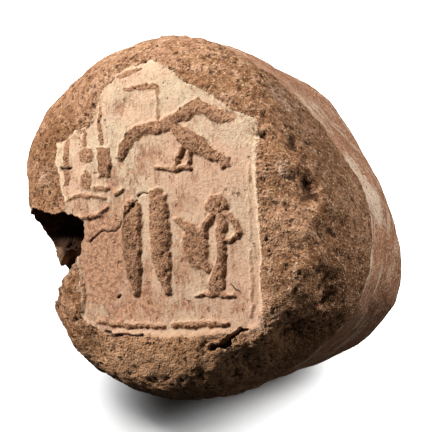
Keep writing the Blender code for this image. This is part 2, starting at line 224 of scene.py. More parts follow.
def view_axes():
    """The camera's right, up and back, in the world."""
    a, e = VIEW_AZIMUTH, VIEW_ELEVATION
    right = (math.cos(a), math.sin(a), 0.0)
    up = (-math.sin(a) * math.sin(e), math.cos(a) * math.sin(e), math.cos(e))
    back = (math.sin(a) * math.cos(e), -math.cos(a) * math.cos(e), math.sin(e))
    return np.array((right, up, back))


def face_axes():
    """The face's u, v and w as columns, in the world."""
    across = np.array((1.0, 0.0, 0.0))
    upward = np.array((0.0, math.sin(FACE_TILT), math.cos(FACE_TILT)))
    outward = np.array((0.0, -math.cos(FACE_TILT), math.sin(FACE_TILT)))
    u = math.cos(FACE_ROLL) * across - math.sin(FACE_ROLL) * upward
    v = math.cos(FACE_ROLL) * upward + math.sin(FACE_ROLL) * across
    return np.stack((u, v, outward), axis=1)


AXES = face_axes()
UPWARD = AXES[2]


def to_world(points):
    return points @ AXES.T * MM + FACE_CENTRE


def to_face(points):
    return (points - FACE_CENTRE) / MM @ AXES


def smooth(share):
    share = np.clip(share, 0.0, 1.0)
    return share * share * (3.0 - 2.0 * share)


def hashed(cells, seed):
    """A steady number from 0 to 1 for each whole-number cell."""
    cells = cells.astype(np.int64)
    number = cells @ np.array((374761393, 668265263, 1440662683)) + seed * 1274126177
    number = (number ^ (number >> 13)) & 0x7FFFFFFF
    number = (number * 1274126177) & 0x7FFFFFFF
    number = number ^ (number >> 16)
    return (number & 0xFFFF) / 65535.0


def waver(points, size, seed):
    """Smooth random swell from -1 to 1, with bumps of about the given size."""
    places = points / size
    cell = np.floor(places)
    part = places - cell
    part = part * part * (3.0 - 2.0 * part)
    total = np.zeros(points.shape[:-1])
    for corner in range(8):
        step = np.array(((corner >> 2) & 1, (corner >> 1) & 1, corner & 1))
        weight = np.prod(np.where(step == 1, part, 1.0 - part), axis=-1)
        total += weight * hashed(cell + step, seed)
    return 2.0 * total - 1.0


def flat_waver(u, v, size, seed):
    return waver(np.stack((u, v, np.zeros_like(u)), axis=-1), size, seed)


def closed_curve(values, angle):
    """Smooth closed curve through values at even angles."""
    values = np.array(values)
    count = len(values)
    place = (angle / (2 * math.pi) * count) % count
    first = np.floor(place).astype(int) % count
    part = place - np.floor(place)
    a, b, c, d = (values[(first + step) % count] for step in (-1, 0, 1, 2))
    line = 2 * b + (c - a) * part
    curve = (2 * a - 5 * b + 4 * c - d) * part**2 + (3 * b - a - 3 * c + d) * part**3
    return 0.5 * (line + curve)


def profile(depth):
    """Half width of the body at a depth behind the face, as a share of the rim, on a smooth curve."""
    knots = np.array(PROFILE_DEPTHS) * STUB_LENGTH
    values = np.array(PROFILE_SHARES)
    slopes = np.gradient(values, knots)
    depth = np.clip(depth, knots[0], knots[-1])
    first = np.clip(np.searchsorted(knots, depth, side="right") - 1, 0, len(knots) - 2)
    step = knots[first + 1] - knots[first]
    part = (depth - knots[first]) / step
    start = values[first] * (2 * part**3 - 3 * part**2 + 1)
    start += slopes[first] * step * (part**3 - 2 * part**2 + part)
    end = values[first + 1] * (3 * part**2 - 2 * part**3)
    end += slopes[first + 1] * step * (part**3 - part**2)
    return start + end


def rounded_max(a, b, radius):
    overlap = np.clip(radius - np.abs(a - b), 0.0, None)
    return np.maximum(a, b) + overlap**2 / (4 * radius)


def past_head(points):
    """How far behind the end of the rough head each place lies."""
    return -points[:, 2] - closed_curve(HEAD_ENDS, np.arctan2(points[:, 1], points[:, 0]))


def behind_head(points):
    """From 0 on the rough head to 1 on the smoothed shaft behind it."""
    return smooth(past_head(points) / HEAD_FADE + 0.5)


def along(points, path):
    """Nearest distance from points to a path of straight pieces."""
    nearest = np.full(len(points), FAR_AWAY)
    for start, end in zip(np.array(path[:-1]), np.array(path[1:])):
        run = end - start
        share = np.clip((points - start) @ run / (run @ run), 0.0, 1.0)
        nearest = np.minimum(nearest, np.linalg.norm(points - start - share[:, None] * run, axis=1))
    return nearest


def field(points):
    """Below zero inside the clay and above zero outside, roughly a distance, in millimetres."""
    u, v, w = points[:, 0], points[:, 1], points[:, 2]
    angle = np.arctan2(v, u)
    radius = np.hypot(u, v)
    side = radius - HEAD_RADIUS * closed_curve(RIM_SHARES, angle) * profile(-w)
    side += HEAD_STEP * (behind_head(points) - 0.5)
    front = w + CROWN * (radius / HEAD_RADIUS) ** 2
    back = -w - STUB_LENGTH + BREAK_FACET * np.clip(-u, 0.0, None)
    for direction, waves, height in BREAK_WAVES:
        back += height * np.sin(points @ np.array(direction) * waves * 2 * math.pi / HEAD_RADIUS)
    under = -points @ UPWARD - UNDERSIDE_DROP
    solid = rounded_max(rounded_max(side, front, SHOULDER), back, BREAK_ROUND)
    return rounded_max(solid, under, UNDERSIDE_ROUND)


def leaving(form, core, directions, reach, rounds):
    """Where each ray from a core inside a form leaves it, found by halving."""
    near = np.zeros(len(directions))
    far = np.full(len(directions), reach)
    for _ in range(rounds):
        middle = 0.5 * (near + far)
        inside = form(core + directions * middle[:, None]) < 0
        near = np.where(inside, middle, near)
        far = np.where(inside, far, middle)
    return core + directions * near[:, None]


def on_surface(directions, rounds=30):
    """Where each ray from the core leaves the clay."""
    return leaving(field, np.array((0.0, 0.0, -CORE_DEPTH)), directions, STUB_LENGTH + HEAD_RADIUS, rounds)


def wander(points, size, reach, seed):
    """Places moved about at random, so that what is drawn on them turns out uneven."""
    return points + reach * np.stack([waver(points, size, seed + i) for i in range(3)], axis=1)


def worn_outside(points):
    """The smooth form with its dents, swellings, groove and ridges."""
    outward = points + (0.0, 0.0, CORE_DEPTH)
    outward /= np.linalg.norm(outward, axis=1, keepdims=True)
    uneven = wander(wander(points, 3.2, 1.3, 61), 1.4, 0.5, 71)
    depth = np.zeros(len(points))
    for centre, size, depth_in in DENTS:
        away = np.linalg.norm(uneven - np.array(centre), axis=1)
        depth += depth_in * np.exp(-((away / size) ** 2))
    depth += GROOVE_DEPTH * smooth(1.0 - along(wander(points, 2.0, 0.5, 64), GROOVE) / GROOVE_HALF)
    craggy = 1.0 + CRAGS * smooth((points[:, 0] - 31.0) / 5.0) * smooth((points[:, 2] + 26.0) / 8.0)
    depth += craggy * (0.32 * waver(points, 9.0, 67) + 0.2 * waver(points, 4.0, 68))
    return points - outward * depth[:, None]


# The stamp's drawing: outlines of its figures as distances, below zero inside


def to_edge(u, v, start, end):
    """Distance to a straight edge, and the share of the edge at which its nearest point lies."""
    run_u, run_v = end[0] - start[0], end[1] - start[1]
    share = ((u - start[0]) * run_u + (v - start[1]) * run_v) / (run_u * run_u + run_v * run_v)
    share = np.clip(share, 0.0, 1.0)
    return np.hypot(u - start[0] - share * run_u, v - start[1] - share * run_v), share


def outline(u, v, corners):
    """Distance to a closed outline of straight edges."""
    corners = np.array(corners, float)
    nearest = np.full(u.shape, FAR_AWAY)
    inside = np.zeros(u.shape, bool)
    for start, end in zip(corners, np.roll(corners, -1, axis=0)):
        nearest = np.minimum(nearest, to_edge(u, v, start, end)[0])
        crosses = (start[1] > v) != (end[1] > v)
        rise = end[1] - start[1]
        crossing = start[0] + (v - start[1]) * (end[0] - start[0]) / (rise if abs(rise) > 1e-9 else 1e-9)
        inside ^= crosses & (u < crossing)
    return np.where(inside, -nearest, nearest)


def stroke(u, v, points, widths):
    """Distance to a line of changing width through points."""
    nearest = np.full(u.shape, FAR_AWAY)
    for start, end, wide, next_wide in zip(points[:-1], points[1:], widths[:-1], widths[1:]):
        away, share = to_edge(u, v, start, end)
        nearest = np.minimum(nearest, away - 0.5 * (wide + (next_wide - wide) * share))
    return nearest


def oval(u, v, centre, radii, turn=0.0):
    """Rough distance to an oval, turned by so many degrees."""
    cosine, sine = math.cos(math.radians(turn)), math.sin(math.radians(turn))
    x, y = u - centre[0], v - centre[1]
    along_u = (x * cosine + y * sine) / radii[0]
    along_v = (-x * sine + y * cosine) / radii[1]
    return (np.hypot(along_u, along_v) - 1.0) * min(radii)


# Each figure: its kind, its height as a share of the depth there, how wide its edge slopes, and its shape
BIRD = (
    (outline, 1.0, 1.1, [(-1.4, 22.4), (2.6, 24.6), (6.4, 26.3), (11.9, 28.6), (15.6, 26.5), (19.4, 24.1),
        (22.1, 21.9), (19.4, 21.2), (15.9, 22.3), (13.4, 23.9), (11.6, 24.4), (9.2, 23.4), (6.9, 22.6),
        (2.0, 20.6)]),
    (stroke, 1.0, 1.1, [(-11.9, 15.6), (-10.7, 18.2), (-8.4, 20.8), (-4.6, 21.9), (-1.0, 22.0),
        (2.6, 21.9)],
        [2.2, 3.5, 3.6, 3.3, 3.1, 3.0]),
    (stroke, 0.55, 0.7, [(-0.2, 23.4), (0.0, 28.4), (-0.6, 32.2)], [1.2, 0.9, 1.3]),
    (stroke, 0.8, 0.7, [(-0.6, 32.8), (-5.5, 33.4), (-10.8, 33.3)], [1.6, 1.7, 1.0]),
    (stroke, 1.0, 1.1, [(4.8, 21.6), (8.2, 18.7), (11.4, 16.4), (15.0, 13.9), (17.4, 12.2)],
        [2.6, 4.9, 5.0, 3.6, 2.2]),
    (outline, 0.75, 0.9, [(16.6, 12.9), (18.0, 13.9), (21.2, 12.4), (21.5, 10.0), (19.0, 9.4)]),
    (stroke, 0.85, 0.7, [(7.2, 16.0), (5.9, 13.4), (4.5, 11.3)], [1.8, 1.3, 1.3]),
    (stroke, 0.85, 0.7, [(9.6, 15.6), (8.7, 11.0)], [1.4, 1.2]),
    (stroke, 0.85, 0.7, [(-1.0, 11.4), (4.2, 11.0), (9.2, 10.4)], [0.9, 1.3, 1.1]),
)
PERSON = (
    (oval, 1.0, 1.0, (16.7, 0.6), (3.2, 2.5)),
    (stroke, 0.95, 0.9, [(17.7, -0.6), (17.9, -5.0), (17.7, -9.0), (17.3, -13.5), (16.4, -17.5),
        (15.8, -20.4)],
        [2.2, 2.7, 2.6, 2.4, 3.6, 4.6]),
    (stroke, 0.95, 0.9, [(15.9, -1.6), (13.6, -4.2), (11.6, -6.6)], [2.2, 2.0, 2.2]),
    (stroke, 0.9, 0.9, [(12.4, -6.9), (8.2, -4.6), (4.9, -2.6)], [2.9, 2.4, 1.7]),
    (stroke, 0.85, 0.8, [(19.3, -1.8), (21.9, -4.2), (23.0, -7.4), (20.8, -8.4), (17.9, -8.8)],
        [1.5, 1.5, 1.6, 1.4, 1.4]),
    (oval, 0.85, 1.2, (9.9, -9.8), (3.8, 5.4), 14.0),
    (stroke, 0.7, 1.0, [(11.6, -13.2), (13.6, -15.4)], [3.4, 2.4]),
    (stroke, 0.8, 0.7, [(9.4, -22.1), (14.9, -21.9), (20.6, -22.9)], [0.7, 1.7, 0.8]),
)
STROKES = (
    (outline, 1.0, 0.8, [(-30.6, 22.4), (-28.9, 22.5), (-28.8, 16.0), (-28.7, 9.2), (-30.4, 9.2),
        (-30.6, 15.0)]),
    (stroke, 0.55, 0.7, [(-28.0, 23.9), (-24.2, 20.7)], [0.9, 0.8]),
    (stroke, 0.9, 0.7, [(-23.8, 25.2), (-23.6, 19.6)], [0.8, 1.1]),
    (oval, 0.9, 0.9, (-23.0, 16.9), (2.4, 2.1)),
    (oval, 0.6, 1.1, (-23.2, 10.2), (1.9, 2.7)),
    (stroke, 1.0, 0.7, [(-18.7, 29.4), (-18.6, 24.0), (-18.1, 20.0)], [0.8, 1.3, 1.3]),
    (outline, 1.0, 0.9, [(-19.4, 18.8), (-15.5, 18.6), (-15.3, 13.6), (-15.6, 10.3), (-19.2, 10.6),
        (-19.1, 15.0)]),
    (stroke, 0.7, 0.8, [(-20.2, 8.2), (-16.6, 7.4)], [1.5, 1.7]),
    (stroke, 0.75, 0.9, [(-30.2, 4.8), (-28.2, 5.8), (-25.0, 6.3), (-21.4, 6.1), (-17.2, 5.0)],
        [0.7, 1.1, 1.3, 1.3, 0.7]),
    (stroke, 0.7, 0.9, [(-27.1, 1.2), (-24.4, 0.4), (-21.8, 0.2), (-18.6, 0.9), (-16.6, 2.4)],
        [0.7, 1.2, 1.4, 1.2, 0.7]),
    (stroke, 0.7, 0.8, [(-13.6, 6.0), (-11.6, 6.8)], [1.4, 1.2]),
    (outline, 0.95, 1.1, [(-11.0, 3.4), (-8.4, 4.2), (-6.4, 2.0), (-6.5, -6.0), (-6.9, -15.0),
        (-7.4, -21.2), (-9.0, -21.0), (-11.2, -15.2), (-12.2, -8.0), (-12.0, -2.0)]),
    (outline, 0.95, 1.1, [(-3.2, 6.0), (-0.4, 6.6), (1.9, 3.8), (2.4, -4.0), (2.5, -13.0), (2.1, -21.6),
        (0.4, -21.4), (-2.0, -15.8), (-3.5, -10.0), (-3.4, 0.0)]),
    (stroke, 0.7, 0.8, [(-25.3, -16.8), (-25.4, -21.4)], [1.5, 1.7]),
    (stroke, 0.8, 0.8, [(-13.4, 36.9), (-10.0, 37.6), (-6.4, 38.2)], [1.2, 1.8, 1.2]),
)
BORDER = (
    (stroke, 0.45, 0.7, [(27.3, 20.5), (27.0, 15.0)], [0.8, 0.9]),
    (stroke, 0.4, 0.7, [(26.9, 10.0), (26.6, 6.0)], [0.8, 0.8]),
    (stroke, 0.28, 0.8, [(26.4, 2.0), (26.0, -9.0)], [0.6, 0.7]),
    (stroke, 0.42, 0.8, [(26.0, -12.0), (25.6, -28.4)], [0.9, 1.0]),
    (stroke, 0.75, 0.7, [(-21.0, -27.2), (-12.0, -28.5), (-0.4, -29.3)], [1.2, 1.5, 1.2]),
    (stroke, 0.85, 0.7, [(2.8, -29.3), (10.0, -29.3), (18.6, -29.9)], [1.5, 1.7, 1.3]),
)
FIGURES = BIRD + PERSON + STROKES + BORDER

# Cracks and cuts in the face: points, width and depth
CRACKS = (
    ([(-22.6, -6.3), (-20.6, -5.3), (-19.0, -3.9), (-17.9, -3.5), (-15.8, -3.9), (-13.4, -3.4),
        (-11.6, -1.2), (-9.4, 0.8), (-8.3, 2.2), (-7.4, 3.5)], 0.36, 0.75),
    ([(-7.2, 4.4), (-5.2, 5.2), (-3.4, 5.0)], 0.32, 0.6),
    ([(-18.5, -30.1), (-15.4, -31.0), (-12.6, -31.0), (-9.2, -31.4), (-6.1, -31.8)], 0.5, 1.3),
    ([(-31.4, 14.0), (-29.6, 13.9), (-27.8, 14.1)], 0.5, 0.9),
    ([(24.0, -31.4), (21.6, -32.6), (19.4, -33.7), (16.6, -35.0), (13.6, -35.6)], 0.95, 1.6),
    ([(-14.4, -21.5), (-13.6, -21.0)], 0.7, 0.9),
    ([(19.6, -19.6), (21.4, -21.6), (22.8, -22.4)], 0.26, 0.3),
)


def strays(u, v, swells, seed):
    """How far places on the face are moved at random, across and up, in swells of a reach and a size each."""
    seeds = (seed, seed + len(swells))
    return [sum(reach * flat_waver(u, v, size, first + i) for i, (reach, size) in enumerate(swells))
            for first in seeds]


def panel_edge(u, v):
    """Distance to the impression's outline, below zero inside it, with the outline worn uneven."""
    middle_u, middle_v = STAMP_CENTRE
    corners = [(middle_u + x * STAMP_WIDTH / 2, middle_v + y * STAMP_HEIGHT / 2) for x, y in STAMP_OUTLINE]
    wear = 0.35 + 0.75 * smooth((10.0 - u) / 14.0) * smooth((v + 8.0) / 10.0)
    across, upward = strays(u, v, EDGE_SWELLS, 11)
    return outline(u + wear * across, v + wear * upward, corners)


def figure_height(u, v):
    """Height of the figures, from 0 on the sunk ground to 1 on their tops, and how near their edges are."""
    across, upward = strays(u, v, FIGURE_SWELLS, 21)
    height = np.zeros(u.shape)
    nearest = np.full(u.shape, FAR_AWAY)
    for kind, top, slope, *shape in FIGURES:
        away = kind(u + across, v + upward, *shape)
        rounded = 0.72 * smooth(0.5 - away / (EDGE_SLOPE * slope)) + 0.28 * smooth(0.25 - away / 2.2)
        height = np.maximum(height, top * rounded)
        nearest = np.minimum(nearest, np.abs(away))
    return height, nearest


def bank_width(u, v):
    """Width of the sloping bank at the panel's edge: wide at the right, at the left and along the bottom."""
    right, low, left = smooth((u - 22.0) / 6.0), smooth((-24.0 - v) / 5.0), smooth((-20.0 - u) / 8.0)
    return 0.9 + 1.5 * right + 1.1 * low + 1.2 * left


def stamp(points):
    """Sinks the panel and its figures into the face; gives the new places and what lies where."""
    u, v, w = points.T
    edge = panel_edge(u, v)
    sunk = smooth(-edge / bank_width(u, v))
    height, _ = figure_height(u, v)
    floor = np.minimum(-(FLOOR_DEPTH + FLOOR_SLOPE_U * u + FLOOR_SLOPE_V * v), w - FLOOR_LEAST)
    floor += 0.10 * flat_waver(u, v, 7.0, 31) + 0.05 * flat_waver(u, v, 2.4, 32)
    placed = points.copy()
    deep = (w - floor) * sunk
    rise = np.minimum(FIGURE_RISE + 0.18 * flat_waver(u, v, 3.1, 33), 0.92 * deep)
    placed[:, 2] = w - deep + rise * height
    cut_in = np.zeros(len(points))
    for path, width, depth in CRACKS:
        stray = 0.12 + 0.62 * min(width, 1.0)
        across, upward = strays(u, v, ((stray, CRACK_SWELL),), 41)
        gap = smooth(1.0 - along(np.stack((u + across, v + upward), axis=1), path) / width)
        placed[:, 2] -= depth * gap
        cut_in = np.maximum(cut_in, gap)
    return placed, sunk, height, cut_in


def face_side(points):
    """True for places on the front of the head, where the stamp can reach."""
    low, wide, tall = FACE_REACH
    return (points[:, 2] > low) & (np.abs(points[:, 0]) < wide) & (np.abs(points[:, 1]) < tall)


# The mesh: a cube of cells, finer where the clay has more to show, drawn out to the clay's surface


def cube_place(side, columns, rows, span):
    """Whole-number places on the cube of one of its six sides."""
    flat = np.full_like(columns, span)
    zero = np.zeros_like(columns)
    kinds = (
        (flat, columns, rows), (zero, rows, columns), (rows, flat, columns),
        (columns, zero, rows), (columns, rows, flat), (rows, columns, zero),
    )
    return np.stack(kinds[side], axis=-1)


def cube_direction(places, span):
    spread = places / span * 2.0 - 1.0
    return spread / np.linalg.norm(spread, axis=-1, keepdims=True)


def wanted_cell(points, outward):
    """How fine the mesh has to be at each place, in millimetres."""
    back = view_axes()[2] @ AXES
    wanted = np.where(outward @ back > HIDDEN_BELOW, CELL_SHOWN, CELL_HIDDEN)
    front = face_side(points)
    u, v = points[front, 0], points[front, 1]
    edge = panel_edge(u, v)
    height, nearest = figure_height(u, v)
    fine = (np.abs(edge) < 2.6) | ((edge < 0.0) & ((nearest < 1.4) | (height > 0.1)))
    for path, width, _ in CRACKS:
        fine |= along(np.stack((u, v), axis=1), path) < width + 0.8
    level = np.where(fine, CELL_STAMP, np.where(edge < 0.0, CELL_SHOWN * 0.8, wanted[front]))
    wanted[front] = np.minimum(level, wanted[front])
    return wanted


def clay_cells():
    """The cells of the cube as polygons of whole-number corners, split until each is as fine as wanted."""
    span = CELLS * 2**FINEST
    leaves = []
    for side in range(6):
        grid = np.arange(CELLS)
        columns, rows = (g.ravel() for g in np.meshgrid(grid, grid, indexing="ij"))
        for level in range(FINEST + 1):
            size = 2 ** (FINEST - level)
            corner = [cube_place(side, (columns + i) * size, (rows + j) * size, span)
                      for i, j in ((0, 0), (1, 0), (1, 1), (0, 1))]
            ends = [on_surface(cube_direction(place, span), 16) for place in corner]
            middle = sum(ends) / 4.0
            width = 0.5 * np.linalg.norm(ends[2] - ends[0], axis=1) / math.sqrt(0.5)
            normal = np.cross(ends[2] - ends[0], ends[3] - ends[1])
            normal /= np.linalg.norm(normal, axis=1, keepdims=True) + 1e-12
            normal *= np.sign(np.sum(normal * (middle + (0.0, 0.0, CORE_DEPTH)), axis=1))[:, None]
            split = (width > wanted_cell(middle, normal)) & (level < FINEST)
            leaves.append(np.stack([place[~split] for place in corner], axis=1))
            columns, rows = columns[split], rows[split]
            columns = np.concatenate([2 * columns + i for i in (0, 1, 1, 0)])
            rows = np.concatenate([2 * rows + j for j in (0, 0, 1, 1)])
            if not len(columns):
                break
    return np.concatenate(leaves), span


def clay_mesh():
    """Corners and polygons of the clay, with every corner that a finer neighbour adds to an edge."""
    leaves, span = clay_cells()
    width = span + 1
    keys = (leaves[..., 0] * width + leaves[..., 1]) * width + leaves[..., 2]
    used = {key: index for index, key in enumerate(np.unique(keys).tolist())}

    def edge(a, b, length):
        if length < 2 or (a + b) // 2 not in used:
            return [used[a]]
        middle = (a + b) // 2
        return edge(a, middle, length // 2) + edge(middle, b, length // 2)

    lengths = np.abs(leaves[:, 0] - leaves[:, 1]).max(axis=1).tolist()
    polygons = []
    for corners, length in zip(keys.tolist(), lengths):
        polygon = []
        for a, b in zip(corners, corners[1:] + corners[:1]):
            polygon += edge(a, b, length)
        polygons.append(polygon)
    flat = np.array(list(used))
    places = np.stack((flat // width**2, flat // width % width, flat % width), axis=-1)
    return cube_direction(places, span), polygons


def point_values(mesh, name, values):
    layer = mesh.attributes.get(name) or mesh.attributes.new(name, "FLOAT", "POINT")
    layer.data.foreach_set("value", np.ascontiguousarray(values, dtype=np.float32))


def mesh_points(mesh):
    flat = np.empty(len(mesh.vertices) * 3, dtype=np.float32)
    mesh.vertices.foreach_get("co", flat)
    return flat.reshape(-1, 3).astype(float)


def add_object(name, mesh):
    made = bpy.data.objects.new(name, mesh)
    bpy.context.scene.collection.objects.link(made)
    return made


def socket(tree, name, kind, direction="INPUT", value=None):
    made = tree.interface.new_socket(name=name, in_out=direction, socket_type=kind)
    if value is not None:
        made.default_value = value
    return made


class Nodes:
    """Short ways to add and join the nodes of a tree."""

    def __init__(self, tree):
        self.tree = tree

    def add(self, kind, values=None, output=0, **settings):
        node = self.tree.nodes.new(kind)
        for name, value in settings.items():
            setattr(node, name, value)
        for name, value in (values or {}).items():
            self.put(node.inputs[name], value)
        return node.outputs[output] if output is not None else node

    def put(self, target, value):
        if isinstance(value, bpy.types.NodeSocket):
            self.tree.links.new(value, target)
        else:
            target.default_value = value

    def math(self, operation, first, second=0.0):
        return self.add("ShaderNodeMath", {0: first, 1: second}, operation=operation)

    def minus(self, first, second):
        return self.math("SUBTRACT", first, second)

    def plus(self, total, *values):
        for value in values:
            total = self.math("ADD", total, value)
        return total

    def times(self, total, *values):
        for value in values:
            total = self.math("MULTIPLY", total, value)
        return total

    def blend(self, *shares):
        """Values added up, each by its share."""
        return self.plus(*[self.times(value, share) for value, share in shares])

    def swing(self, *shares):
        """Noises added up about their middle, each by its share."""
        return self.blend(*[(self.minus(value, 0.5), share) for value, share in shares])

    def vector(self, operation, first, second=(0.0, 0.0, 0.0), output=0):
        return self.add("ShaderNodeVectorMath", {0: first, 1: second}, output, operation=operation)

    def scaled(self, vector, factor):
        return self.add("ShaderNodeVectorMath", {0: vector, "Scale": factor}, operation="SCALE")

    def ramp(self, value, low, high, start=0.0, end=1.0):
        values = {"Value": value, "From Min": low, "From Max": high, "To Min": start, "To Max": end}
        return self.add("ShaderNodeMapRange", values, interpolation_type="SMOOTHSTEP")

    def noise(self, vector, scale, detail=2.0, roughness=0.5, distortion=0.0):
        values = {"Vector": vector, "Scale": scale, "Detail": detail, "Roughness": roughness}
        return self.add("ShaderNodeTexNoise", {**values, "Distortion": distortion})

    def strayed(self, vector, scale, reach):
        """Places moved about at random, so that round pits drawn on them turn out uneven."""
        noise = self.add("ShaderNodeTexNoise", {"Vector": vector, "Scale": scale, "Detail": 1.0}, 1)
        return self.vector("ADD", vector, self.scaled(self.vector("SUBTRACT", noise, (0.5, 0.5, 0.5)), reach))

    def cells(self, vector, scale):
        return self.add("ShaderNodeTexVoronoi", {"Vector": vector, "Scale": scale}, None)

    def mix(self, share, first, second):
        return self.add("ShaderNodeMix", {0: share, 6: first, 7: second}, 2, data_type="RGBA")

    def named(self, name):
        return self.add("ShaderNodeAttribute", output=2, attribute_name=name)


# Sizes of the roughness in the clay's mesh, in millimetres
CLAY_INPUTS = (
    ("Lump height", 0.62), ("Lump size", 3.8), ("Grain height", 0.36), ("Grain size", 1.2),
    ("Pore depth", 0.75), ("Pore size", 1.9), ("Hollow depth", 0.9), ("Hollow size", 4.6),
)
WIPED_HEIGHT = 0.9


def clay_surface_tree(finish):
    """Geometry Nodes that roughen the clay with lumps, grain, pores and hollows where 'coarse' allows."""
    tree = bpy.data.node_groups.new("clay_surface", "GeometryNodeTree")
    socket(tree, "Geometry", "NodeSocketGeometry")
    for name, value in CLAY_INPUTS:
        socket(tree, name, "NodeSocketFloat", value=value)
    socket(tree, "Geometry", "NodeSocketGeometry", "OUTPUT")
    n = Nodes(tree)
    given = n.add("NodeGroupInput", output=None)
    coarse = n.add("GeometryNodeInputNamedAttribute", {"Name": "coarse"}, data_type="FLOAT")
    smoothed = n.add("GeometryNodeInputNamedAttribute", {"Name": "smoothed"}, data_type="FLOAT")
    place = n.scaled(n.add("GeometryNodeInputPosition"), 1.0 / MM)
    stray = n.strayed(place, 0.9, 2.2)

    def raised(name, middle, strength, *detail):
        """Bumps of a noise about its middle."""
        noise = n.noise(place, n.math("DIVIDE", 1.0, given.outputs[name + " size"]), *detail)
        return n.times(n.minus(noise, middle), given.outputs[name + " height"], strength)

    def pitted(name, shift, near, far, spread, low, high):
        """Round pits, in some parts of the clay alone."""
        cells = n.cells(n.vector("ADD", stray, shift), n.math("DIVIDE", 1.0, given.outputs[name + " size"]))
        chance = n.ramp(n.noise(place, spread, 1.0), low, high)
        return n.times(n.ramp(cells.outputs[0], near, far, 1.0, 0.0), chance, given.outputs[name + " depth"])

    height = n.plus(raised("Lump", 0.52, 2.2, 2.0), raised("Grain", 0.56, 2.6, 2.5, 0.62))
    pits = n.plus(pitted("Pore", (0.0, 0.0, 0.0), 0.1, 0.36, 0.23, 0.44, 0.62),
                  pitted("Hollow", (7.3, 1.1, 4.2), 0.08, 0.3, 0.11, 0.5, 0.6))
    height = n.times(n.minus(height, pits), coarse, MM)
    wiped = n.minus(n.noise(place, 0.16, 2.0), 0.5)
    height = n.plus(height, n.times(wiped, smoothed, WIPED_HEIGHT * MM))
    offset = n.scaled(n.add("GeometryNodeInputNormal"), height)
    moved = n.add("GeometryNodeSetPosition", {"Geometry": given.outputs["Geometry"], "Offset": offset})
    whole = n.add("GeometryNodeRealizeInstances", {"Geometry": moved})
    shown = n.add("GeometryNodeSetMaterial", {"Geometry": whole, "Material": finish})
    result = n.add("NodeGroupOutput", output=None)
    n.put(result.inputs[0], shown)
    return tree


def applied(made, tree):
    """Runs a Geometry Nodes tree on an object and leaves the result as its plain mesh."""
    made.modifiers.new(tree.name, "NODES").node_group = tree
    return finished(made)


def finished(made):
    """Bakes an object's modifiers into its mesh."""
    bpy.context.view_layer.update()
    evaluated = made.evaluated_get(bpy.context.evaluated_depsgraph_get())
    mesh = bpy.data.meshes.new_from_object(evaluated)
    made.modifiers.clear()
    old = made.data
    made.data = mesh
    bpy.data.meshes.remove(old)
    return made


def build_clay(tree):
    """The head and stub with the stamp pressed in, roughened by the clay tree."""
    directions, polygons = clay_mesh()
    bare = worn_outside(on_surface(directions))
    placed = bare.copy()
    front = face_side(bare)
    coarse = np.ones(len(bare))
    placed[front], sunk, height, cut_in = stamp(bare[front])
    ground = sunk * (1.0 - height)
    coarse[front] = 1.0 - CALM_GROUND * smooth(ground * 1.4) - CALM_FIGURES * height * sunk
    shaft = behind_head(bare)
    at_break = smooth((STUMP_ROUGH - STUB_LENGTH - bare[:, 2]) / 6.0)
    coarse *= 1.0 - CALM_SHAFT * shaft * (1.0 - at_break)
    mesh = bpy.data.meshes.new("clay")
    mesh.from_pydata(to_world(placed).tolist(), [], polygons)
    mesh.update()
    point_values(mesh, "coarse", coarse)
    point_values(mesh, "smoothed", shaft)
    mesh.polygons.foreach_set("use_smooth", [True] * len(mesh.polygons))
    return applied(add_object("clay", mesh), tree)


def chip_inside(points):
    """Below zero in the space that is broken out of the left edge."""
    hollows = [np.linalg.norm((points - np.array(centre)) / np.array(radii), axis=1)
               for centre, radii in (*CHIP, CHIP_LUMP)]
    space = (np.min(hollows[:-1], axis=0) - 1.0) * HOLLOW_SIZE
    lump = (hollows[-1] - 1.0) * LUMP_SIZE
    return rounded_max(space, -lump, CHIP_ROUND)


def build_chip(tree):
    """The broken-out space as a closed shape with a rough fracture."""
    shape = bmesh.new()
    bmesh.ops.create_icosphere(shape, subdivisions=6, radius=1.0)
    directions = np.array([vertex.co.normalized() for vertex in shape.verts])
    places = leaving(chip_inside, CHIP_HEART, directions, CHIP_REACH, 24)
    rough = 0.9 * np.abs(waver(places, 6.0, 51)) + 0.5 * waver(places, 2.6, 52)
    rough += 0.25 * waver(places, 1.2, 53)
    places += directions * (rough - 0.4)[:, None]
    for vertex, place in zip(shape.verts, to_world(places)):
        vertex.co = place
    mesh = bpy.data.meshes.new("chip")
    shape.to_mesh(mesh)
    shape.free()
    point_values(mesh, "coarse", np.full(len(mesh.vertices), CHIP_COARSE))
    point_values(mesh, "smoothed", np.zeros(len(mesh.vertices)))
    return applied(add_object("chip", mesh), tree)


def take_chip(clay, chip):
    """Cuts the chip out of the clay, and gives 1 for each point inside the fracture and 0 elsewhere."""
    chip.data.materials.clear()
    chip.data.materials.append(bpy.data.materials.new("fracture"))
    bite = clay.modifiers.new("chip", "BOOLEAN")
    bite.operation = "DIFFERENCE"
    bite.solver = "EXACT"
    bite.object = chip
    bite.material_mode = "TRANSFER"
    finished(clay)
    bpy.data.objects.remove(chip)
    shape = bmesh.new()
    shape.from_mesh(clay.data)
    bmesh.ops.triangulate(shape, faces=shape.faces)
    bmesh.ops.remove_doubles(shape, verts=shape.verts, dist=0.002 * MM)
    for side in shape.edges:
        side.smooth = len({face.material_index for face in side.link_faces}) == 1
    broken = [min(face.material_index for face in corner.link_faces) for corner in shape.verts]
    for triangle in shape.faces:
        triangle.smooth = True
        triangle.material_index = 0
    shape.to_mesh(clay.data)
    shape.free()
    return np.minimum(np.array(broken, dtype=float), 1.0)


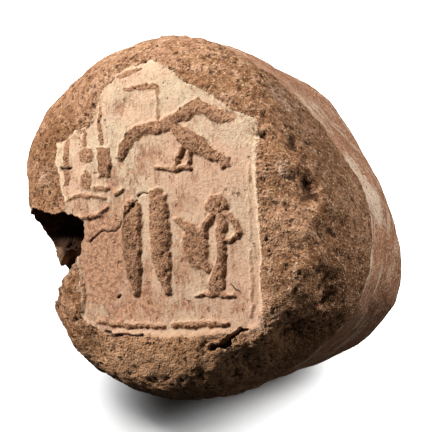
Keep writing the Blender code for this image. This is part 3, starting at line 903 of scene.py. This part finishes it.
def settle(clay):
    """Keeps the clay inside the solid's box, and so above the floor."""
    places = mesh_points(clay.data)
    places[:, 2] = np.maximum(places[:, 2], 0.0)
    places = np.clip(places, np.array(cad_box[0]), np.array(cad_box[1]))
    clay.data.vertices.foreach_set("co", places.astype(np.float32).ravel())
    clay.data.update()


def neighbours_mean(mesh, values):
    """Each point's mean over the points it shares an edge with."""
    pairs = np.empty(len(mesh.edges) * 2, dtype=np.int64)
    mesh.edges.foreach_get("vertices", pairs)
    a, b = pairs[::2], pairs[1::2]
    count = np.bincount(pairs, minlength=len(mesh.vertices)).astype(float)
    total = np.stack([np.bincount(a, values[b, i], len(count)) + np.bincount(b, values[a, i], len(count))
                      for i in range(values.shape[1])], axis=1)
    return total / np.maximum(count, 1.0)[:, None]


def hollowness(mesh, points, rounds):
    """How far each point lies below its surroundings, in millimetres."""
    normals = np.empty(len(mesh.vertices) * 3, dtype=np.float32)
    mesh.vertex_normals.foreach_get("vector", normals)
    normals = normals.reshape(-1, 3)
    spread = points
    for _ in range(rounds):
        spread = neighbours_mean(mesh, spread)
    return np.sum((spread - points) * (normals @ AXES), axis=1)


def blotches(points, places):
    """Soft blotches around places, from 0 to 1."""
    total = np.zeros(len(points))
    for centre, size, amount in places:
        total += amount * np.exp(-np.sum(((points - np.array(centre)) / np.array(size)) ** 2, axis=1))
    return np.clip(total, 0.0, 1.0)


def mark_clay(mesh, broken):
    """Writes on the mesh where its skin, figures, patches, shaft, break and hollows lie."""
    points = to_face(mesh_points(mesh))
    u, v = points[:, 0], points[:, 1]
    front = face_side(points)
    sunk, cut_in, lean = (np.zeros(len(points)) for _ in range(3))
    lifted = points[front].copy()
    lifted[:, 2] += 1.0
    _, sunk[front], _, cut_in[front] = stamp(lifted)
    # The skin runs a little over the panel's right edge and covers the banks that look up and left: painted
    # highlight on the banks towards the light, and brown painted shade left on those that look down and right
    _, skin_and_highlight, raised, _ = stamp(lifted + SKIN_AND_HIGHLIGHT_SHIFT)
    sunk[front] = np.maximum(sunk[front], skin_and_highlight)
    lean[front] = raised
    flat = np.stack((u, v), axis=1)
    uneven = wander(points, 6.0, 1.2, 81)
    whole = 1.0 - broken
    deep = -points[:, 2] + 2.5 * waver(points, 7.0, 85) + 1.2 * waver(points, 2.5, 86)
    marks = {
        "slip": sunk * whole,
        "figure": sunk * lean * whole,
        "rubbed": blotches(flat, RUBBED),
        "pale": blotches(uneven, PALE),
        "dusky": blotches(flat, DUSKY),
        "shaft": behind_head(points),
        "behind": past_head(points),
        "end": smooth((deep - STUB_LENGTH + STUMP_SHOWN) / 1.6 + 0.5),
        "around": np.arctan2(v, u) * HEAD_RADIUS,
        "broken": broken,
        # The chip's burnt core, also painted shade of its deep hollow
        "core": broken * smooth((v - BURNT_FROM + 0.8 * waver(points, 3.0, 83)) / 1.6 + 0.5),
        "crack": cut_in,
        # How far each point lies below its surroundings, for the painted shade in hollows and low places
        "hollow": hollowness(mesh, points, 2),
        "low": hollowness(mesh, points, 9),
    }
    for name, values in marks.items():
        point_values(mesh, name, values)


# What mark_clay writes on the mesh for the material
MARKS = ("slip", "figure", "rubbed", "pale", "dusky", "shaft", "behind", "end", "around", "broken", "core",
         "crack", "hollow", "low")


class ClayNodes(Nodes):
    """The clay's material nodes: places, the marks on the mesh, and the noises that its colours share."""

    def __init__(self, tree):
        super().__init__(tree)
        self.place = self.scaled(self.add("ShaderNodeTexCoord", output=3), 1.0 / MM)
        # The face's own frame, in millimetres
        from_centre = self.vector("SUBTRACT", self.place, tuple(FACE_CENTRE / MM))
        parts = [self.vector("DOT_PRODUCT", from_centre, tuple(axis), output=1) for axis in AXES.T]
        self.u, self.v, self.w = parts
        self.face_place = self.combined(self.u, self.v, self.w)
        for name in MARKS:
            setattr(self, name, self.named(name))
        # Sand and grain, chopped straw marks, upright wipe marks, and uneven patches
        self.sand = self.noise(self.place, 1.9, 2.0, 0.62)
        self.grain = self.noise(self.place, 0.95, 3.0, 0.6)
        self.fibres = self.stretched(self.face_place, (1.7, 1.7, 0.5), 0.62, 0.5)
        self.wipe = self.stretched(self.face_place, (1.7, 0.42, 1.0), 0.65)
        self.patchy = self.stretched(self.face_place, (0.34, 0.24, 0.3), 0.6)
        self.broad = self.noise(self.place, 0.05, 3.0, 0.55)
        # Small pits of uneven outline, in two sizes
        stray = self.strayed(self.place, 1.3, 1.6)
        small = self.pitted(stray, 0.62, 0.56, 0.12, 0.3)
        large = self.pitted(self.vector("ADD", stray, (5.0, 9.0, 2.0)), 0.27, 0.66, 0.1, 0.24)
        self.pits = self.math("MAXIMUM", small, large)
        # Streaks that run round the shaft
        shares = ((self.behind, 0.62), (self.around, 0.1), (self.broad, 3.0))
        turned = self.combined(*[self.times(value, share) for value, share in shares])
        self.streak = self.noise(turned, 1.0, 4.0, 0.65, 0.35)
        # Where the panel's cream skin is gone
        gone = self.plus(self.swing((self.patchy, 0.5)), self.times(self.rubbed, 0.27),
                         self.blend((self.sand, 0.55), (self.wipe, 0.45)))
        self.gone = self.ramp(gone, 0.58, 0.645)
        # Makes the borders between finishes gritty, and the pale places uneven
        self.gritty = self.swing((self.grain, 0.5), (self.sand, 0.5))
        self.chalky = self.plus(self.pale, self.times(self.grain, 0.7))

    def combined(self, *parts):
        return self.add("ShaderNodeCombineXYZ", dict(enumerate(parts)))

    def stretched(self, vector, scale, *roughness):
        return self.noise(self.vector("MULTIPLY", vector, scale), 1.0, 3.0, *roughness)

    def pitted(self, vector, scale, chosen, near, far):
        """Pits in the chosen part of a pattern's cells."""
        cells = self.cells(vector, scale)
        drawn = self.add("ShaderNodeSeparateColor", {0: cells.outputs["Color"]})
        picked = self.ramp(drawn, chosen, chosen + 0.04)
        return self.times(self.ramp(cells.outputs["Distance"], near, far, 1.0, 0.0), picked)

    def over(self, colour, share, shade):
        return self.mix(share, colour, srgb(*shade))

    def tone(self, value, low, high, first, second):
        """A colour that turns from the first shade to the second as the value goes from low to high."""
        return self.mix(self.ramp(value, low, high), srgb(*first), srgb(*second))

    def layered(self, colour, *layers):
        """A colour with shades laid over it, each as its value goes from low to high, up to its share."""
        for value, low, high, share, shade in layers:
            colour = self.over(colour, self.ramp(value, low, high, 0.0, share), shade)
        return colour


def outside_colour(n):
    """Rough brown clay, mottled, dusky behind the face, with painted light low in front, and chalky in pale
    places.
    """
    ochre = n.noise(n.vector("ADD", n.place, (31.0, 7.0, 3.0)), 0.16, 3.0, 0.6)
    mottle = n.noise(n.vector("ADD", n.place, (3.0, 17.0, 11.0)), 0.3, 3.0, 0.6)
    colour = n.layered(
        n.tone(n.broad, 0.4, 0.6, (150, 105, 72), (184, 139, 107)),
        (ochre, 0.5, 0.66, 0.55, (164, 122, 82)),
        (mottle, 0.5, 0.36, 0.6, (126, 84, 52)),
        (mottle, 0.52, 0.66, 0.6, (209, 166, 134)),
        (n.blend((n.grain, 0.6), (n.fibres, 0.4)), 0.5, 0.37, 0.75, (88, 56, 35)),
        (n.blend((n.sand, 0.6), (n.grain, 0.4)), 0.55, 0.67, 0.45, (222, 180, 140)),
        (n.fibres, 0.56, 0.7, 0.45, (202, 160, 122)),
        (n.plus(n.w, n.times(n.broad, 10.0)), -2.0, -12.0, 0.3, (96, 66, 46)),
    )
    # Painted light: the low front, lit at a grazing angle, is painted lighter
    lit_low_front = n.times(n.ramp(n.v, -29.0, -37.0, 0.0, 0.4), n.ramp(n.w, -12.0, -6.0))
    colour = n.over(colour, lit_low_front, (206, 158, 116))
    chalk = n.tone(n.sand, 0.4, 0.6, (168, 130, 106), (212, 180, 156))
    return n.mix(n.ramp(n.chalky, 0.6, 1.15, 0.0, 0.75), colour, chalk)


def panel_colour(n):
    """Cream skin with upright wipe marks, rubbed through to reddish clay, and a painted highlight on the
    panel's banks.
    """
    skin = n.layered(
        n.tone(n.broad, 0.42, 0.6, (206, 184, 156), (208, 172, 145)),
        (n.v, 24.0, -12.0, 0.5, (184, 150, 125)),
        (n.grain, 0.5, 0.62, 0.45, (190, 150, 124)),
        (n.wipe, 0.54, 0.72, 0.4, (176, 134, 106)),
        (n.sand, 0.58, 0.68, 0.6, (232, 206, 178)),
        (n.sand, 0.42, 0.34, 0.55, (160, 124, 98)),
    )
    red = n.tone(n.grain, 0.38, 0.58, (136, 92, 68), (183, 137, 107))
    red = n.layered(red, (n.sand, 0.58, 0.68, 0.5, (214, 170, 142)))
    skin = n.mix(n.times(n.gone, 0.88), skin, red)
    # Painted highlight: the banks at the panel's edge, which face the lamp at the upper left, are painted
    # paler, though not low down where they lie in shade
    lit_bank = n.times(n.ramp(n.slip, 0.98, 0.5, 0.0, 0.55), n.ramp(n.v, -29.0, -24.0))
    skin = n.over(skin, lit_bank, (234, 207, 174))
    return n.layered(skin, (n.v, -30.0, -33.5, 0.7, (176, 132, 98)))


def figure_colour(n):
    """Tops of the raised figures: bare reddish clay, darker in dusky places."""
    colour = n.layered(
        n.tone(n.grain, 0.34, 0.54, (128, 88, 62), (178, 134, 102)),
        (n.sand, 0.54, 0.66, 0.65, (214, 172, 138)),
        (n.patchy, 0.52, 0.64, 0.5, (190, 146, 118)),
    )
    return n.over(colour, n.times(n.dusky, n.ramp(n.grain, 0.62, 0.4, 0.55, 1.0)), (96, 62, 40))


def shaft_colour(n):
    """Wiped shaft: pinkish streaks that run round it, pale smears and a chalky line where the head ends."""
    smear = n.noise(n.combined(n.times(n.behind, 0.2), n.times(n.around, 0.075), 3.0), 1.0, 3.0, 0.6)
    streaked = n.times(n.ramp(n.streak, 0.36, 0.62), n.ramp(n.behind, 13.0, 5.0, 0.3, 1.0))
    colour = n.mix(streaked, srgb(146, 103, 77), srgb(181, 136, 109))
    colour = n.layered(colour, (n.grain, 0.42, 0.6, 0.4, (188, 142, 118)))
    smeared = n.ramp(n.blend((n.streak, 0.45), (smear, 0.65)), 0.55, 0.68)
    colour = n.over(colour, n.times(smeared, n.ramp(n.behind, 24.0, 11.0, 0.4, 0.85)), (216, 193, 170))
    colour = n.layered(
        colour,
        (n.chalky, 0.6, 1.1, 0.85, (228, 206, 186)),
        (n.sand, 0.46, 0.34, 0.75, (112, 76, 54)),
    )
    off_line = n.math("ABSOLUTE", n.minus(n.behind, n.plus(0.2, n.times(n.streak, 2.4))))
    line = n.times(n.ramp(off_line, 0.35, 0.9, 1.0, 0.0), n.ramp(smear, 0.4, 0.5, 0.0, 0.8))
    return n.over(colour, line, (232, 208, 188))


def stump_colour(n):
    """The old break at the back: brown at its rim, greyish and darker towards its core."""
    rim = n.tone(n.grain, 0.36, 0.6, (104, 76, 56), (166, 128, 98))
    core = n.tone(n.grain, 0.36, 0.6, (70, 58, 50), (118, 98, 82))
    off_core = n.vector("LENGTH", n.combined(n.u, n.plus(n.v, 4.0)), output=1)
    near_core = n.ramp(n.plus(off_core, n.times(n.broad, 18.0)), 27.0, 15.0, 0.0, 0.6)
    return n.layered(n.mix(near_core, rim, core), (n.sand, 0.58, 0.7, 0.6, (206, 170, 136)))


def chip_colours(n):
    """The chip: fresh pale clay at its rim, and the burnt core, painted dark also as the shade of the deep
    hollow.
    """
    fresh = n.tone(n.grain, 0.4, 0.6, (150, 112, 82), (202, 168, 138))
    burnt_and_shaded = n.tone(n.noise(n.place, 0.28, 2.0), 0.46, 0.62, (52, 32, 20), (104, 72, 48))
    return (n.layered(fresh, (n.sand, 0.56, 0.68, 0.5, (222, 196, 168))),
            n.layered(burnt_and_shaded, (n.grain, 0.44, 0.6, 0.6, (72, 46, 30))))


def clay_colour(n):
    """All the clay's colours in their places, with painted shade in small and broad hollows, pits and cracks.
    """
    fresh, burnt_and_shaded = chip_colours(n)
    colour = n.mix(n.ramp(n.plus(n.shaft, n.gritty), 0.4, 0.6), outside_colour(n), shaft_colour(n))
    colour = n.mix(n.ramp(n.plus(n.end, n.gritty), 0.4, 0.6), colour, stump_colour(n))
    patches = n.minus(n.blend((n.patchy, 0.5), (n.grain, 0.5)), 0.36)
    worn_left = n.times(n.ramp(n.u, -20.0, -28.0, 0.0, 0.9), patches)
    colour = n.mix(n.ramp(n.minus(n.plus(n.slip, n.gritty), worn_left), 0.04, 0.2), colour, panel_colour(n))
    colour = n.mix(n.ramp(n.plus(n.figure, n.gritty), 0.22, 0.5), colour, figure_colour(n))
    # The chip's burnt core, dark partly as painted shade of its deep hollow
    colour = n.mix(n.core, n.mix(n.broken, colour, fresh), burnt_and_shaded)
    # Painted shade: darker in small hollows, in broad low places and in pits of the open clay, where shade
    # falls
    in_skin = n.times(n.ramp(n.slip, 0.1, 0.4), n.ramp(n.figure, 0.3, 0.6, 0.85, 0.2))
    on_shaft = n.times(n.shaft, n.ramp(n.end, 0.2, 0.8, 0.6, 0.1))
    open_clay = n.minus(1.0, n.math("MAXIMUM", in_skin, on_shaft))
    colour = n.over(colour, n.times(n.ramp(n.hollow, 0.02, 0.13, 0.0, 0.55), open_clay), (84, 54, 34))
    colour = n.over(colour, n.times(n.ramp(n.low, 0.06, 0.55, 0.0, 0.72), open_clay), (58, 36, 22))
    colour = n.over(colour, n.times(n.pits, open_clay, 0.85), (56, 34, 20))
    # Painted shade in the pits of the cream skin
    skin_pits = n.times(n.pits, n.ramp(n.slip, 0.4, 0.8), n.ramp(n.patchy, 0.48, 0.6), 0.6)
    colour = n.over(colour, skin_pits, (118, 80, 58))
    # Painted shadow in the cracks
    return n.layered(colour, (n.plus(n.crack, n.gritty), 0.14, 0.6, 0.88, (40, 24, 15)))


def clay_height(n):
    """Grain too fine for the mesh, in millimetres: coarse outside, calm in the panel, drawn out behind."""
    coarse = n.minus(n.swing((n.grain, 0.75), (n.sand, 0.5), (n.fibres, 0.35)), n.times(n.pits, 0.55))
    calm = n.minus(n.swing((n.sand, 0.24), (n.wipe, 0.14), (n.grain, 0.2)), n.times(n.gone, 0.15))
    calm = n.minus(calm, n.times(n.pits, n.ramp(n.patchy, 0.48, 0.6), 0.3))
    drawn = n.swing((n.streak, 0.3), (n.sand, 0.34))
    height = n.add("ShaderNodeMix", {0: n.ramp(n.slip, 0.1, 0.5), 2: coarse, 3: calm})
    height = n.add("ShaderNodeMix", {0: n.ramp(n.figure, 0.3, 0.6), 2: height, 3: coarse})
    return n.add("ShaderNodeMix", {0: n.minus(n.shaft, n.end), 2: height, 3: drawn})


def clay_material():
    """Coarse fired clay: brown outside, cream skin in the panel, a wiped shaft, dark where broken."""
    made = bpy.data.materials.new("fired_clay")
    made.use_nodes = True
    made.node_tree.nodes.clear()
    n = ClayNodes(made.node_tree)
    bump = n.add("ShaderNodeBump", {"Strength": 1.0, "Distance": MM, "Height": clay_height(n)})
    look = {"Base Color": clay_colour(n), "Roughness": n.ramp(n.grain, 0.3, 0.7, 0.86, 0.97), "Normal": bump}
    shader = n.add("ShaderNodeBsdfPrincipled", {"Specular IOR Level": 0.2, **look})
    result = n.add("ShaderNodeOutputMaterial", output=None)
    n.put(result.inputs["Surface"], shader)
    return made


def floor_material():
    made = bpy.data.materials.new("pale_floor")
    made.use_nodes = True
    shader = made.node_tree.nodes["Principled BSDF"]
    shader.inputs["Base Color"].default_value = (0.9, 0.9, 0.9, 1.0)
    shader.inputs["Roughness"].default_value = 0.9
    shader.inputs["Specular IOR Level"].default_value = 0.1
    return made


def add_camera():
    right, up, back = (Vector(axis) for axis in view_axes())
    lens = bpy.data.cameras.new("camera")
    camera = add_object("camera", lens)
    aim = Vector(FACE_CENTRE) + right * AIM_RIGHT * PIXEL - up * AIM_DOWN * PIXEL
    turned = Matrix((right, up, back)).transposed().to_4x4()
    camera.matrix_world = Matrix.Translation(aim + back * VIEW_DISTANCE) @ turned
    lens.sensor_width = 36.0
    lens.lens = lens.sensor_width * VIEW_DISTANCE / (PHOTO_SIDE * PIXEL)
    lens.clip_start = 0.01
    bpy.context.scene.camera = camera


def add_lamp(name, toward, distance, size, power, lit, colour=(1.0, 1.0, 1.0)):
    """A soft lamp for one object alone, placed as the camera sees it: to the right, up and towards it."""
    right, up, back = (Vector(axis) for axis in view_axes())
    lamp = bpy.data.lights.new(name, "AREA")
    lamp.shape = "SQUARE"
    lamp.size = size
    lamp.energy = power
    lamp.color = colour
    made = add_object(name, lamp)
    way = (right * toward[0] + up * toward[1] + back * toward[2]).normalized()
    place = Matrix.Translation(Vector((0.0, 0.0, LAMP_AIM)) + way * distance)
    made.matrix_world = place @ way.to_track_quat("Z", "Y").to_matrix().to_4x4()
    group = bpy.data.collections.new(name + "_lights")
    group.objects.link(lit)
    made.light_linking.receiver_collection = group


def ground_way(turn, rise):
    """Direction towards a lamp, as the camera sees it, from its turn and its height above the floor."""
    axes = view_axes()
    turn, rise = math.radians(turn), math.radians(rise)
    across = np.array((axes[0][0], axes[0][1], 0.0))
    away = np.array((-across[1], across[0], 0.0))
    level = across * math.cos(turn) + away * math.sin(turn)
    return tuple(axes @ (level * math.cos(rise) + np.array((0.0, 0.0, math.sin(rise)))))


def add_floor():
    mesh = bpy.data.meshes.new("floor")
    r = FLOOR_REACH
    mesh.from_pydata([(-r, -r, 0.0), (r, -r, 0.0), (r, r, 0.0), (-r, r, 0.0)], [], [(0, 1, 2, 3)])
    floor = add_object("floor", mesh)
    mesh.materials.append(floor_material())
    floor.visible_diffuse = False
    floor.visible_glossy = False
    return floor


def add_sky():
    """White light from all round, fainter from below."""
    world = bpy.data.worlds.new("studio")
    world.use_nodes = True
    n = Nodes(world.node_tree)
    rise = n.add("ShaderNodeSeparateXYZ", {0: n.add("ShaderNodeTexCoord", output=0)}, 2)
    backdrop = world.node_tree.nodes["Background"]
    n.put(backdrop.inputs["Color"], (1.0, 1.0, 1.0, 1.0))
    n.put(backdrop.inputs["Strength"], n.ramp(rise, -0.05, 0.5, 0.02, 0.1))
    bpy.context.scene.world = world


finish = clay_material()
surface = clay_surface_tree(finish)
clay = build_clay(surface)
broken = take_chip(clay, build_chip(surface))
settle(clay)
clay.data.materials.clear()
clay.data.materials.append(finish)
mark_clay(clay.data, broken)
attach(clay, "root")
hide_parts("funerary_cone")

floor = add_floor()
add_camera()
add_lamp("key_light", (-0.734, 0.587, 0.342), 0.9, 0.2, 14.5, clay, (1.0, 0.975, 0.94))
add_lamp("top_light", (0.6, 0.78, 0.12), 0.9, 0.22, 7.0, clay, (1.0, 0.955, 0.9))
add_lamp("fill_light", (0.96, -0.05, 0.28), 1.1, 0.4, 2.1, clay, (1.0, 0.94, 0.85))
add_lamp("floor_light_left", ground_way(130.0, 30.0), 1.6, 1.1, 86.0, floor)
add_lamp("floor_light_right", ground_way(17.0, 30.0), 1.6, 1.1, 86.0, floor)
add_sky()
bpy.context.scene.view_settings.view_transform = "Standard"
